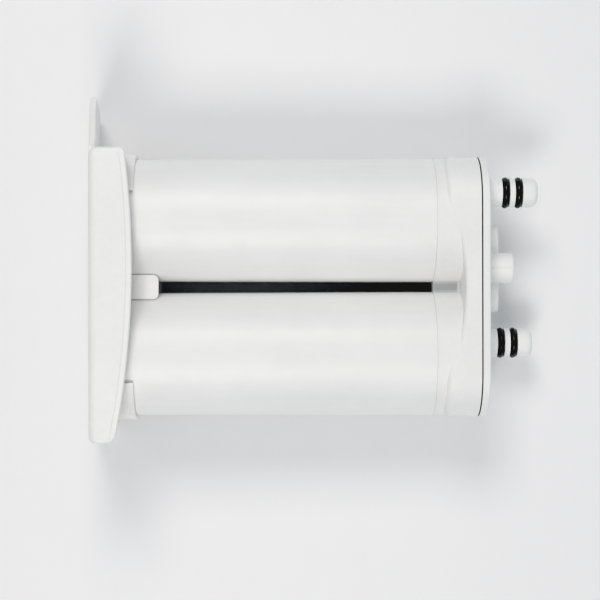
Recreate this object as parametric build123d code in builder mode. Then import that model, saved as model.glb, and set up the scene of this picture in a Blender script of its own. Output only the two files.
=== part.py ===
# Bypass plug for a refrigerator water filter head: twin canisters, a manifold head with a
# port plate, and a grip cover that clips over the front ends of the canisters.
# Millimetres. The origin is the centre of the port plate's outer face. +X runs out of the
# plate along the nozzles, +Y across the canisters, and +Z up as the part lies on its side.
import os
from math import radians, sqrt, tan

from build123d import *

os.makedirs("parts", exist_ok=True)

# Canisters
canister_radius = 24.15
canister_gap = 3.7
canister_length = 126.0
canister_draft = 0.2
canister_wall = 3.4
canister_front_round = 3.0
lap_length = 6.0
lap_wall = 1.7
lap_clearance = 0.08
seam_bevel = 0.3

# Manifold head
head_depth = 16.6
outline_corner = 17.8
shoulder_set_back = 3.6
shoulder_round = 2.4
valley_depth = 10.6
valley_arc_radius = 90.0
valley_lip_round = 1.6
web_height = 9.0
head_wall = 2.5
socket_floor = 2.5
chamber_depth = 3.4

# Port plate
plate_thickness = 3.0
plate_edge_round = 0.8
seam_gap = 0.4
tongue_wall = 1.8
tongue_clearance = 0.1
tongue_depth = 2.2
port_offset = 7.2
pad_width = 34.2
pad_height = 8.0
pad_depth = 5.7
post_width = 11.7
post_height = 24.0
post_length = 10.6
post_groove = 0.7
boss_edge_round = 0.7

# Nozzles and O-rings
nozzle_reach = 29.2
nozzle_rise = 7.0
nozzle_diameter = 11.2
nozzle_length = 20.0
nozzle_tip_round = 2.3
nozzle_bore = 4.4
ring_diameter = 12.0
ring_cord = 2.4
ring_first = 7.7
ring_pitch = 5.0
ring_side_clearance = 0.25
ring_seat_clearance = 0.02

# Grip cover
cover_rise = 6.65
cover_short_overhang = 1.85
cover_long_overhang = 8.35
cover_depth = 16.2
cover_overlap = 8.9
cover_lean = 4.5
cover_wall = 2.2
cover_corner = 1.4
cover_face_round = 3.0
rim_arc_radius = 340.0
rim_arc_offset = 8.0
rim_step_width = 2.5
rim_step_run = 0.5
rim_step_depth = 0.4
rim_short_corner = 2.4
rim_long_corner = 4.5
flange_reach = 19.0
flange_inset = 2.3
flange_thickness = 2.4
flange_sweep = 1.7
flange_corner = 3.5
flange_edge_round = 0.4

# Clips of the cover
clip_clearance = 0.2
skirt_thickness = 1.5
skirt_overlap = 11.0
skirt_edge = 10.2
keeper_overlap = 19.8
keeper_crest = 11.5
keeper_thickness = 2.6
keeper_corner = 2.0
keeper_side_gap = 0.2
keeper_bevel_length = 1.9
keeper_bevel_drop = 0.9
stop_rib_thickness = 1.8
stop_rib_height = 36.0
stop_rib_pitch = 20.0

# Places worked out from the sizes
canister_spacing = 2 * canister_radius + canister_gap
canister_y = canister_spacing / 2
outline_width = canister_spacing + 2 * canister_radius
outline_height = 2 * canister_radius
plate_inner_x = -plate_thickness
head_rear_x = plate_inner_x - seam_gap
seam_x = head_rear_x - head_depth
canister_front_x = seam_x - canister_length
lap_radius = canister_radius - lap_wall
canister_bore = canister_radius - canister_wall
ledge_x = head_rear_x - tongue_depth
tongue_inset = head_wall + tongue_clearance
nozzles = {
    "left": (port_offset + nozzle_reach, nozzle_rise),
    "right": (port_offset - nozzle_reach, -nozzle_rise),
}
ring_places = {"inner": ring_first, "outer": ring_first + ring_pitch}


def canister_radius_at(x):
    """Outer radius of the drafted canister at a place along its axis."""
    return canister_radius - (seam_x - x) * tan(radians(canister_draft))


def section_plane(y, z):
    """Plane through a turned piece's axis; its local x runs along that axis."""
    return Plane(origin=(0, y, z), x_dir=(1, 0, 0), z_dir=(0, 0, 1))


def turning_axis(y, z):
    return Axis((0, y, z), (1, 0, 0))


def twin_circles(radius, mode=Mode.ADD):
    """One circle on each canister axis, in a sketch across the canisters."""
    with GridLocations(canister_spacing, 0, 2, 1):
        Circle(radius, mode=mode)


def head_outline(inset, mode=Mode.ADD):
    """The rounded rectangle that the head's rear and the port plate share."""
    width = outline_width - 2 * inset
    height = outline_height - 2 * inset
    RectangleRounded(width, height, outline_corner - inset, mode=mode)


# Canisters: drafted cups, closed in front, with a half lap at the open rear end
front_radius = canister_radius_at(canister_front_x)
front_inner_x = canister_front_x + canister_wall
lap_end_x = seam_x + lap_length
for name, y in {"left": canister_y, "right": -canister_y}.items():
    with BuildPart() as canister:
        with BuildSketch(section_plane(y, 0)):
            with BuildLine():
                Polyline(
                    (canister_front_x, 0),
                    (canister_front_x, front_radius),
                    (seam_x - seam_bevel, canister_radius),
                    (seam_x, canister_radius - seam_bevel),
                    (seam_x, lap_radius),
                    (lap_end_x, lap_radius),
                    (lap_end_x, canister_bore),
                    (front_inner_x, front_radius - canister_wall),
                    (front_inner_x, 0),
                    close=True,
                )
            make_face()
        revolve(axis=turning_axis(y, 0))
        front_rim = canister.edges().filter_by(GeomType.CIRCLE).group_by(Axis.X)[0]
        fillet(front_rim, canister_front_round)
    canister.part.label = f"{name}_canister"
    export_step(canister.part, f"parts/{name}_canister.step")

# Squared flange of the head, rounded where it rises out of the round sockets
shoulder_x = seam_x + shoulder_set_back
with BuildPart() as head_flange:
    with BuildSketch(Plane.YZ.offset(shoulder_x)):
        head_outline(0)
    extrude(amount=head_rear_x - shoulder_x)
    fillet(head_flange.faces().sort_by(Axis.X)[0].edges(), shoulder_round)

# Hollow of the valley between the sockets: its end wall is bowed in plan and round at the lip
valley_x = seam_x + valley_depth
valley_start_x = seam_x - valley_depth
valley_top = outline_height / 2
with BuildPart() as valley:
    with BuildSketch(Plane.XZ):
        with BuildLine():
            lip = RadiusArc(
                (valley_x, valley_top - valley_lip_round),
                (valley_x + valley_lip_round, valley_top),
                valley_lip_round,
            )
            Polyline(
                lip @ 1,
                (valley_start_x, valley_top),
                (valley_start_x, web_height / 2),
                (valley_x, web_height / 2),
                lip @ 0,
            )
        make_face()
    revolve(axis=Axis((valley_x - valley_arc_radius, 0, 0), (0, 0, 1)))
    with BuildSketch(Plane.YZ.offset(valley_start_x)):
        with Locations((0, valley_top / 2)):
            Rectangle(canister_spacing, valley_top)
        twin_circles(canister_radius, mode=Mode.SUBTRACT)
    extrude(amount=valley_x + valley_lip_round - valley_start_x, mode=Mode.INTERSECT)
    mirror(about=Plane.XY)

# Manifold head: twin sockets in front, a shallow crossover chamber behind
with BuildPart() as manifold_head:
    with BuildSketch(Plane.YZ.offset(seam_x)):
        twin_circles(canister_radius)
        Rectangle(canister_spacing, web_height)
    extrude(amount=head_depth)
    add(head_flange.part)
    add(valley.part, mode=Mode.SUBTRACT)
    with BuildSketch(Plane.YZ.offset(seam_x)):
        twin_circles(lap_radius + lap_clearance)
    extrude(amount=lap_length + lap_clearance, mode=Mode.SUBTRACT)
    with BuildSketch(Plane.YZ.offset(seam_x)):
        twin_circles(canister_bore)
    extrude(amount=head_depth - chamber_depth - socket_floor, mode=Mode.SUBTRACT)
    with BuildSketch(Plane.YZ.offset(head_rear_x)):
        head_outline(head_wall)
    extrude(amount=-tongue_depth, mode=Mode.SUBTRACT)
    with BuildSketch(Plane.YZ.offset(head_rear_x)):
        head_outline(tongue_inset + tongue_wall)
    extrude(amount=-chamber_depth, mode=Mode.SUBTRACT)
manifold_head.part.label = "manifold_head"
export_step(manifold_head.part, "parts/manifold_head.step")

# Port plate: a lid whose tongue seats in the head, with a key boss and two grooved nozzles
nozzle_radius = nozzle_diameter / 2
groove_width = ring_cord + 2 * ring_side_clearance
groove_depth = nozzle_radius - (ring_diameter / 2 - ring_cord - ring_seat_clearance)
with BuildPart() as port_plate:
    with BuildSketch(Plane.YZ.offset(plate_inner_x)):
        head_outline(0)
    extrude(amount=plate_thickness)
    fillet(port_plate.faces().sort_by(Axis.X)[-1].edges(), plate_edge_round)
    with BuildSketch(Plane.YZ.offset(ledge_x)):
        head_outline(tongue_inset)
        head_outline(tongue_inset + tongue_wall, mode=Mode.SUBTRACT)
    extrude(amount=plate_inner_x - ledge_x)
    with BuildSketch(Plane.YZ):
        with Locations((port_offset, 0)):
            SlotOverall(pad_width, pad_height)
    extrude(amount=pad_depth)
    fillet(port_plate.faces().sort_by(Axis.X)[-1].edges(), boss_edge_round)
    with BuildSketch(Plane.YZ):
        with Locations((port_offset, 0)):
            SlotOverall(post_height, post_width, rotation=90)
    extrude(amount=post_length)
    fillet(port_plate.faces().sort_by(Axis.X)[-1].edges(), boss_edge_round)
    with BuildSketch(Plane.YZ):
        with Locations((port_offset, post_height / 2), (port_offset, -post_height / 2)):
            Rectangle(post_groove, post_groove, rotation=45)
    extrude(amount=post_length, mode=Mode.SUBTRACT)
    for y, z in nozzles.values():
        with BuildSketch(section_plane(y, z)):
            with Locations((nozzle_length / 2, nozzle_radius / 2)):
                Rectangle(nozzle_length, nozzle_radius)
            with Locations(*[(ring_x, nozzle_radius) for ring_x in ring_places.values()]):
                Rectangle(groove_width, 2 * groove_depth, mode=Mode.SUBTRACT)
        revolve(axis=turning_axis(y, z))
    tip_rims = port_plate.edges().filter_by(GeomType.CIRCLE).group_by(Axis.X)[-1]
    fillet(tip_rims, nozzle_tip_round)
    with BuildSketch(Plane.YZ.offset(plate_inner_x)):
        with Locations(*nozzles.values()):
            Circle(nozzle_bore / 2)
    extrude(amount=plate_thickness + nozzle_length, mode=Mode.SUBTRACT)
port_plate.part.label = "port_plate"
export_step(port_plate.part, "parts/port_plate.step")

# O-rings: two on each nozzle
for name, (y, z) in nozzles.items():
    for place, ring_x in ring_places.items():
        with BuildPart() as o_ring:
            with BuildSketch(section_plane(y, z)):
                with Locations((ring_x, (ring_diameter - ring_cord) / 2)):
                    Circle(ring_cord / 2)
            revolve(axis=turning_axis(y, z))
        o_ring.part.label = f"{name}_{place}_o_ring"
        export_step(o_ring.part, f"parts/{name}_{place}_o_ring.step")

# Places of the grip cover: face and rim lean together, and the rim is bowed across the canisters
cover_height = outline_height + 2 * cover_rise
cover_short_side = outline_width / 2 + cover_short_overhang
cover_long_side = outline_width / 2 + cover_long_overhang
cover_width = cover_short_side + cover_long_side
cover_middle = (cover_short_side - cover_long_side) / 2
rim_x = canister_front_x + cover_overlap
face_x = rim_x - cover_depth
keeper_x = canister_front_x + keeper_overlap
lean_slope = tan(radians(cover_lean))
front_limit_x = face_x - cover_height * lean_slope
rear_limit_x = rim_x + cover_height * lean_slope
face_plane = Plane(origin=(face_x, 0, 0), x_dir=(0, 1, 0), z_dir=(1, 0, -lean_slope))
inner_face_plane = face_plane.offset(cover_wall)
tray_depth = cover_depth / sqrt(1 + lean_slope**2)
rim_plane = Plane(origin=(rim_x, 0, 0), x_dir=(1, 0, -lean_slope), z_dir=(lean_slope, 0, 1))
clip_radius = canister_radius_at(keeper_x) + clip_clearance


def rim_point(y):
    """Point of the bowed rim on its own plane, at a place across the cover."""
    bow = rim_arc_radius - sqrt(rim_arc_radius**2 - (y - rim_arc_offset) ** 2)
    return (-bow, y)


def cover_section(inset):
    """Rounded rectangle across the cover, drawn in by a wall."""
    with Locations((cover_middle, 0)):
        RectangleRounded(cover_width - 2 * inset, cover_height - 2 * inset, cover_corner)


# Keepers of the cover: a tongue above and one below, in the valleys between the canisters
keeper_half_width = canister_y - sqrt(clip_radius**2 - keeper_crest**2) - keeper_side_gap
with BuildPart() as keepers:
    with BuildSketch(Plane.XZ):
        with BuildLine():
            Polyline(
                (front_limit_x, keeper_crest),
                (keeper_x - keeper_bevel_length, keeper_crest),
                (keeper_x, keeper_crest - keeper_bevel_drop),
                (keeper_x, keeper_crest - keeper_thickness),
                (front_limit_x, keeper_crest - keeper_thickness),
                close=True,
            )
        make_face()
        mirror(about=Plane.XZ)
    extrude(amount=keeper_half_width, both=True)
    keeper_ends = keepers.edges().filter_by(Axis.Z).group_by(Axis.X)[-1]
    fillet(keeper_ends, keeper_corner)

# Clips inside the cover: side skirts, the keepers and stops for the canister ends
with BuildPart() as clips:
    with BuildSketch(Plane.YZ.offset(front_limit_x)):
        twin_circles(clip_radius + skirt_thickness)
        twin_circles(clip_radius, mode=Mode.SUBTRACT)
        Rectangle(canister_spacing + 2 * skirt_edge, 2 * outline_height, mode=Mode.SUBTRACT)
    extrude(amount=canister_front_x + skirt_overlap - front_limit_x)
    add(keepers.part)
    with BuildSketch(Plane.YZ.offset(front_limit_x)):
        with GridLocations(canister_spacing, 0, 2, 1):
            with GridLocations(stop_rib_pitch, 0, 2, 1):
                Rectangle(stop_rib_thickness, stop_rib_height)
    extrude(amount=canister_front_x - front_limit_x)
    split(bisect_by=inner_face_plane.offset(-cover_wall / 2), keep=Keep.TOP)

# Hollow of the cover behind its face
with BuildPart() as cover_hollow:
    with BuildSketch(Plane.YZ.offset(front_limit_x)):
        cover_section(cover_wall)
    extrude(amount=rear_limit_x - front_limit_x)
    split(bisect_by=inner_face_plane, keep=Keep.TOP)

# Pull flange: the face carried on past the cover's short side and swept back a little
flange_root = cover_face_round + cover_wall
flange_height = cover_height - 2 * flange_inset
flange_slope = tan(radians(flange_sweep))
flange_plane = Plane(
    origin=(face_x, cover_short_side - flange_root, 0),
    x_dir=(flange_slope, 1, 0),
    z_dir=(1, -flange_slope, -lean_slope),
)
with BuildPart() as pull_flange:
    with BuildSketch(flange_plane) as flange_outline:
        Rectangle(flange_root + flange_reach, flange_height, align=(Align.MIN, Align.CENTER))
        fillet(flange_outline.vertices().group_by(Axis.X)[-1], flange_corner)
    extrude(amount=flange_thickness)
    fillet(pull_flange.faces().filter_by(flange_plane).edges(), flange_edge_round)

# Front cover: a shallow tray open to the canisters, with its pull flange and clips
with BuildPart() as front_cover:
    with BuildSketch(rim_plane) as plan:
        with BuildLine():
            rim = ThreePointArc(
                rim_point(-cover_long_side), rim_point(rim_arc_offset), rim_point(cover_short_side)
            )
            Polyline(
                rim @ 1,
                (-tray_depth, cover_short_side),
                (-tray_depth, -cover_long_side),
                rim @ 0,
            )
        make_face()
        fillet(plan.vertices().sort_by_distance(rim @ 0)[0], rim_long_corner)
        fillet(plan.vertices().sort_by_distance(rim @ 1)[0], rim_short_corner)
    extrude(amount=cover_height, both=True)
    split(bisect_by=Plane.XY.offset(cover_height / 2), keep=Keep.BOTTOM)
    split(bisect_by=Plane.XY.offset(-cover_height / 2), keep=Keep.TOP)
    broad_sides = front_cover.faces().filter_by(Plane.XY)
    fillet(broad_sides.edges() - front_cover.faces().sort_by(Axis.X)[0].edges(), cover_corner)
    fillet(front_cover.faces().filter_by(face_plane).sort_by(Axis.X)[0].edges(), cover_face_round)
    for edge_z in (cover_height / 2, -cover_height / 2):
        edge_x = rim_x + lean_slope * edge_z
        inward = -1 if edge_z > 0 else 1
        step_z = edge_z + inward * rim_step_depth
        with BuildSketch(Plane.XZ.offset(-rim_arc_offset)):
            with BuildLine():
                Polyline(
                    (edge_x - rim_step_width, edge_z),
                    (edge_x - rim_step_width + rim_step_run, step_z),
                    (edge_x + rim_step_width, step_z),
                    (edge_x + rim_step_width, edge_z),
                    close=True,
                )
            make_face()
        revolve(axis=Axis((edge_x - rim_arc_radius, rim_arc_offset, 0), (0, 0, 1)), mode=Mode.SUBTRACT)
    add(cover_hollow.part, mode=Mode.SUBTRACT)
    add(pull_flange.part)
    add(clips.part)
    with BuildSketch(Plane.YZ.offset(canister_front_x)):
        twin_circles(clip_radius)
    extrude(amount=keeper_overlap, mode=Mode.SUBTRACT)
front_cover.part.label = "front_cover"
export_step(front_cover.part, "parts/front_cover.step")
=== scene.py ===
import math
import bpy
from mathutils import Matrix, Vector

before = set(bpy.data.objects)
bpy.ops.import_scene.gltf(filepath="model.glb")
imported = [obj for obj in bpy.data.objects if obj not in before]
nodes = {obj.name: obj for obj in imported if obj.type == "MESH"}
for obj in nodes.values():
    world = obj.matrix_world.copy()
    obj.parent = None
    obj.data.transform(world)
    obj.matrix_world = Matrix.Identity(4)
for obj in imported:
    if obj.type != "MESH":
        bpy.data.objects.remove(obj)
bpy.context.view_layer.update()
scene = bpy.context.scene

# Lengths and depths are in metres, and noise scales are per metre

# The span that noise mostly keeps to, and how rough its fine detail is
noise_low = 0.35
noise_high = 0.65
noise_roughness = 0.55

# White plastic: clouds and moulding streaks in the tone, patches in the gloss, a soft waviness
cloud_scale = 45.0
streak_scale = 420.0
streak_in_tone = 0.35
patch_scale = 140.0
streak_in_gloss = 0.4
wave_scale = 260.0
wave_depth = 0.000012
plastic_ior = 1.49

# How the streaks are drawn out: a small factor makes them long along that axis
even = (1.0, 1.0, 1.0)
lengthwise = (0.05, 1.0, 1.0)
upright = (1.0, 1.0, 0.08)

# Painted shade: places whose colour is darkened to stand in for shade, each a box from low to high,
# how far its sides fade, and the tint
sharp = (0.00001, 0.00001, 0.00001)
# Painted shade: the faces inside the narrow gap between the head and the port plate are darkened to
# stand in for the shadow in that gap
plate_joint_painted_shade = {
    "low": (-0.00345, -1.0, -1.0),
    "high": (-0.00295, 1.0, 1.0),
    "fade": sharp,
    "tint": (0.24, 0.24, 0.235),
}
# Painted shade: the web deep in the valley between the sockets is darkened and cooled to stand in
# for the shade it lies in
valley_web_painted_shade = {
    "low": (-0.0202, -0.0027, -0.0046),
    "high": (-0.0104, 0.0027, 0.0046),
    "fade": (0.0003, 0.0017, 0.00001),
    "tint": (0.61, 0.63, 0.645),
}
# Painted shade: the narrow upper edge of the pull flange is darkened a little to stand in for the
# shade it takes beside the cover
flange_edge_painted_shade = {
    "low": (-0.158, 0.0525, 0.0278),
    "high": (-0.145, 0.0720, 0.0300),
    "fade": sharp,
    "tint": (0.89, 0.89, 0.89),
}

# Black rubber under a film of grease
rubber_dark = (0.028, 0.028, 0.0285)
rubber_light = (0.042, 0.042, 0.0425)
smear_scale = 620.0
smear_roughness = (0.09, 0.50)
film_scale = 900.0
film_depth = 0.00004
speck_scale = 3200.0
speck_depth = 0.000015
rubber_ior = 1.50

# Floor, which the lower edges of the cover and the port plate touch
floor_dark = (0.925, 0.921, 0.930)
floor_light = (0.945, 0.941, 0.949)
fibre_scale = 30.0
floor_roughness = 0.6
floor_size = 40.0
floor_clearance = 0.0001
touch_cover = Vector((-0.142, 0.0, -0.0308))
touch_plate = Vector((-0.0008, 0.0, -0.02415))

# Soft studio light: a dim room, lighter towards the nozzles, and a softbox on each side of the part
room_strength = 0.468
room_colour = (0.950, 1.0, 1.030)
nozzle_side = 0.2
box_power = 2.98
box_colour = (1.0, 0.957, 0.928)
box_size = (0.36, 0.34)
box_distance = 1.0
box_elevation = math.radians(53.0)
box_x = -0.21

# Camera, with its turn in degrees
camera_place = (-0.084755, -0.00817, 0.62707)
camera_turn = (0.292, -1.199, -0.096)
camera_lens = 96.22
camera_sensor = 36.0
camera_clip = (0.01, 20.0)

# Tone curve: what is darker than the black level comes out as the deepest tone
black_level = (0.06, 0.06, 0.06)
deepest_tone = 0.007
all_channels = 3


class Graph:
    """A material's node tree with short calls for adding and joining nodes."""

    def __init__(self, name):
        self.material = bpy.data.materials.new(name)
        self.material.use_nodes = True
        self.tree = self.material.node_tree
        self.shader = self.tree.nodes["Principled BSDF"]

    def add(self, kind, **values):
        """A new node with its settings."""
        node = self.tree.nodes.new(kind)
        for key, value in values.items():
            setattr(node, key, value)
        return node

    def link(self, source, target):
        """A link from an output to an input."""
        self.tree.links.new(source, target)

    def position(self, stretch=even):
        """The place on the part, scaled along each axis."""
        mapping = self.add("ShaderNodeMapping")
        mapping.inputs["Scale"].default_value = stretch
        self.link(self.add("ShaderNodeTexCoord").outputs["Object"], mapping.inputs["Vector"])
        return mapping.outputs["Vector"]

    def noise(self, vector, scale, detail):
        """Soft noise around a half."""
        node = self.add("ShaderNodeTexNoise")
        node.inputs["Scale"].default_value = scale
        node.inputs["Detail"].default_value = detail
        node.inputs["Roughness"].default_value = noise_roughness
        self.link(vector, node.inputs["Vector"])
        return node.outputs["Fac"]

    def remap(self, value, low, high, to_low, to_high):
        """A value carried from one span to another and kept inside it."""
        node = self.add("ShaderNodeMapRange")
        node.inputs["From Min"].default_value = low
        node.inputs["From Max"].default_value = high
        node.inputs["To Min"].default_value = to_low
        node.inputs["To Max"].default_value = to_high
        self.link(value, node.inputs["Value"])
        return node.outputs["Result"]

    def spread(self, noise, to_low, to_high):
        """Noise spread over a span."""
        return self.remap(noise, noise_low, noise_high, to_low, to_high)

    def blend(self, first, second, share):
        """Two values mixed, with the second one's share."""
        node = self.add("ShaderNodeMix", data_type="FLOAT")
        node.inputs["Factor"].default_value = share
        self.link(first, node.inputs["A"])
        self.link(second, node.inputs["B"])
        return node.outputs["Result"]

    def ramp(self, value, dark, light):
        """A colour between dark and light."""
        node = self.add("ShaderNodeMix", data_type="RGBA")
        node.inputs["A"].default_value = (*dark, 1)
        node.inputs["B"].default_value = (*light, 1)
        self.link(value, node.inputs["Factor"])
        return node.outputs["Result"]

    def inside(self, vector, low, high, fade):
        """One within the box between two corners, fading to nought at its sides."""
        axes = self.add("ShaderNodeSeparateXYZ")
        self.link(vector, axes.inputs["Vector"])
        result = None
        for axis, least, most, width in zip("XYZ", low, high, fade):
            half = (most - least) / 2
            offset = self.add("ShaderNodeMath", operation="SUBTRACT")
            offset.inputs[1].default_value = least + half
            self.link(axes.outputs[axis], offset.inputs[0])
            away = self.add("ShaderNodeMath", operation="ABSOLUTE")
            self.link(offset.outputs["Value"], away.inputs[0])
            within = self.remap(away.outputs["Value"], half - width, half, 1.0, 0.0)
            if result is None:
                result = within
            else:
                both = self.add("ShaderNodeMath", operation="MULTIPLY")
                self.link(result, both.inputs[0])
                self.link(within, both.inputs[1])
                result = both.outputs["Value"]
        return result

    def paint_shade(self, colour, vector, low, high, fade, tint):
        """A colour darkened by a tint inside a box, as painted shade."""
        node = self.add("ShaderNodeMix", data_type="RGBA", blend_type="MULTIPLY")
        node.inputs["B"].default_value = (*tint, 1)
        self.link(self.inside(vector, low, high, fade), node.inputs["Factor"])
        self.link(colour, node.inputs["A"])
        return node.outputs["Result"]

    def bump(self, height, depth, normal=None):
        """A bumped normal, on top of another one where that is given."""
        node = self.add("ShaderNodeBump")
        node.inputs["Distance"].default_value = depth
        node.inputs["Strength"].default_value = 1.0
        self.link(height, node.inputs["Height"])
        if normal is not None:
            self.link(normal, node.inputs["Normal"])
        return node.outputs["Normal"]


def white_plastic(name, dark, light, roughness, grain_scale, grain_depth, stretch, painted_shades):
    """Moulded white plastic: cloudy tone, flow streaks, a soft waviness and a fine satin grain,
    with painted shade darkening the colour inside the given boxes.
    """
    g = Graph(name)
    where = g.position()
    cloud = g.noise(where, cloud_scale, detail=4.0)
    streak = g.noise(g.position(stretch), streak_scale, detail=3.0)
    tone = g.blend(cloud, streak, streak_in_tone)
    colour = g.ramp(g.spread(tone, 0.0, 1.0), dark, light)
    # Painted shade: the colour is darkened inside each given box to stand in for shade that falls
    # there
    for painted_shade in painted_shades:
        colour = g.paint_shade(colour, where, **painted_shade)
    g.link(colour, g.shader.inputs["Base Color"])
    patch = g.blend(g.noise(where, patch_scale, detail=3.0), streak, streak_in_gloss)
    g.link(g.spread(patch, *roughness), g.shader.inputs["Roughness"])
    wave = g.bump(g.noise(where, wave_scale, detail=1.0), wave_depth)
    grain = g.bump(g.noise(where, grain_scale, detail=2.0), grain_depth, wave)
    g.link(grain, g.shader.inputs["Normal"])
    g.shader.inputs["IOR"].default_value = plastic_ior
    return g.material


def rubber(name):
    """Black rubber under a film of grease that is thick and glossy in places."""
    g = Graph(name)
    where = g.position()
    smear = g.noise(where, smear_scale, detail=3.0)
    g.link(g.ramp(smear, rubber_dark, rubber_light), g.shader.inputs["Base Color"])
    g.link(g.spread(smear, *smear_roughness), g.shader.inputs["Roughness"])
    film = g.bump(g.noise(where, film_scale, detail=2.0), film_depth)
    specks = g.bump(g.noise(where, speck_scale, detail=2.0), speck_depth, film)
    g.link(specks, g.shader.inputs["Normal"])
    g.shader.inputs["IOR"].default_value = rubber_ior
    return g.material


def floor_paper(name):
    """Pale paper with faintly uneven fibre."""
    g = Graph(name)
    fibre = g.noise(g.position(), fibre_scale, detail=5.0)
    g.link(g.ramp(fibre, floor_dark, floor_light), g.shader.inputs["Base Color"])
    g.shader.inputs["Roughness"].default_value = floor_roughness
    return g.material


# Finishes of the CAD nodes
cover_white = white_plastic(
    "cover_white",
    dark=(0.890, 0.887, 0.876),
    light=(0.928, 0.925, 0.914),
    roughness=(0.42, 0.54),
    grain_scale=2400.0,
    grain_depth=0.000010,
    stretch=even,
    painted_shades=(flange_edge_painted_shade,),
)
canister_white = white_plastic(
    "canister_white",
    dark=(0.894, 0.894, 0.886),
    light=(0.931, 0.931, 0.923),
    roughness=(0.38, 0.47),
    grain_scale=1900.0,
    grain_depth=0.000006,
    stretch=lengthwise,
    painted_shades=(),
)
head_white = white_plastic(
    "head_white",
    dark=(0.889, 0.888, 0.879),
    light=(0.928, 0.927, 0.918),
    roughness=(0.42, 0.52),
    grain_scale=1900.0,
    grain_depth=0.000008,
    stretch=upright,
    painted_shades=(plate_joint_painted_shade, valley_web_painted_shade),
)
black_rubber = rubber("black_rubber")

finishes = {
    "front_cover": cover_white,
    "left_canister": canister_white,
    "right_canister": canister_white,
    "manifold_head": head_white,
    "port_plate": head_white,
    "left_inner_o_ring": black_rubber,
    "left_outer_o_ring": black_rubber,
    "right_inner_o_ring": black_rubber,
    "right_outer_o_ring": black_rubber,
}
for name, finish in finishes.items():
    slots = nodes[name].data.materials
    slots.clear()
    slots.append(finish)

# Floor, tilted to lie under both lower edges
slope = math.atan2(touch_plate.z - touch_cover.z, touch_plate.x - touch_cover.x)
bpy.ops.mesh.primitive_plane_add(size=floor_size)
floor = bpy.context.object
floor.name = "floor"
floor.location = touch_cover + Vector((0.0, 0.0, -floor_clearance))
floor.rotation_euler = (0.0, -slope, 0.0)
floor.data.materials.append(floor_paper("floor_paper"))

# Room
world = bpy.data.worlds.new("studio")
scene.world = world
world.use_nodes = True
sky = world.node_tree
background = sky.nodes["Background"]
background.inputs["Color"].default_value = (*room_colour, 1.0)
facing = sky.nodes.new("ShaderNodeSeparateXYZ")
sky.links.new(sky.nodes.new("ShaderNodeTexCoord").outputs["Generated"], facing.inputs["Vector"])
level = sky.nodes.new("ShaderNodeMapRange")
level.inputs["From Min"].default_value = -1.0
level.inputs["From Max"].default_value = 1.0
level.inputs["To Min"].default_value = room_strength * (1.0 - nozzle_side)
level.inputs["To Max"].default_value = room_strength * (1.0 + nozzle_side)
sky.links.new(facing.outputs["X"], level.inputs["Value"])
sky.links.new(level.outputs["Result"], background.inputs["Strength"])

# Softboxes, each turned towards the part
for side, name in ((1.0, "softbox_left"), (-1.0, "softbox_right")):
    box = bpy.data.lights.new(name, "AREA")
    box.shape = "RECTANGLE"
    box.size, box.size_y = box_size
    box.energy = box_power
    box.color = box_colour
    lamp = bpy.data.objects.new(name, box)
    reach = side * box_distance * math.cos(box_elevation)
    lamp.location = (box_x, reach, box_distance * math.sin(box_elevation))
    lamp.rotation_euler = (-side * (math.pi / 2 - box_elevation), 0.0, 0.0)
    scene.collection.objects.link(lamp)

# Camera
camera_data = bpy.data.cameras.new("camera")
camera_data.sensor_width = camera_sensor
camera_data.lens = camera_lens
camera_data.clip_start, camera_data.clip_end = camera_clip
camera = bpy.data.objects.new("camera", camera_data)
camera.location = camera_place
camera.rotation_euler = [math.radians(angle) for angle in camera_turn]
scene.collection.objects.link(camera)
scene.camera = camera

# Tone
scene.view_settings.view_transform = "Standard"
scene.view_settings.look = "None"
scene.view_settings.use_curve_mapping = True
levels = scene.view_settings.curve_mapping
levels.black_level = black_level
levels.extend = "HORIZONTAL"
levels.curves[all_channels].points[0].location = (0.0, deepest_tone)
levels.update()
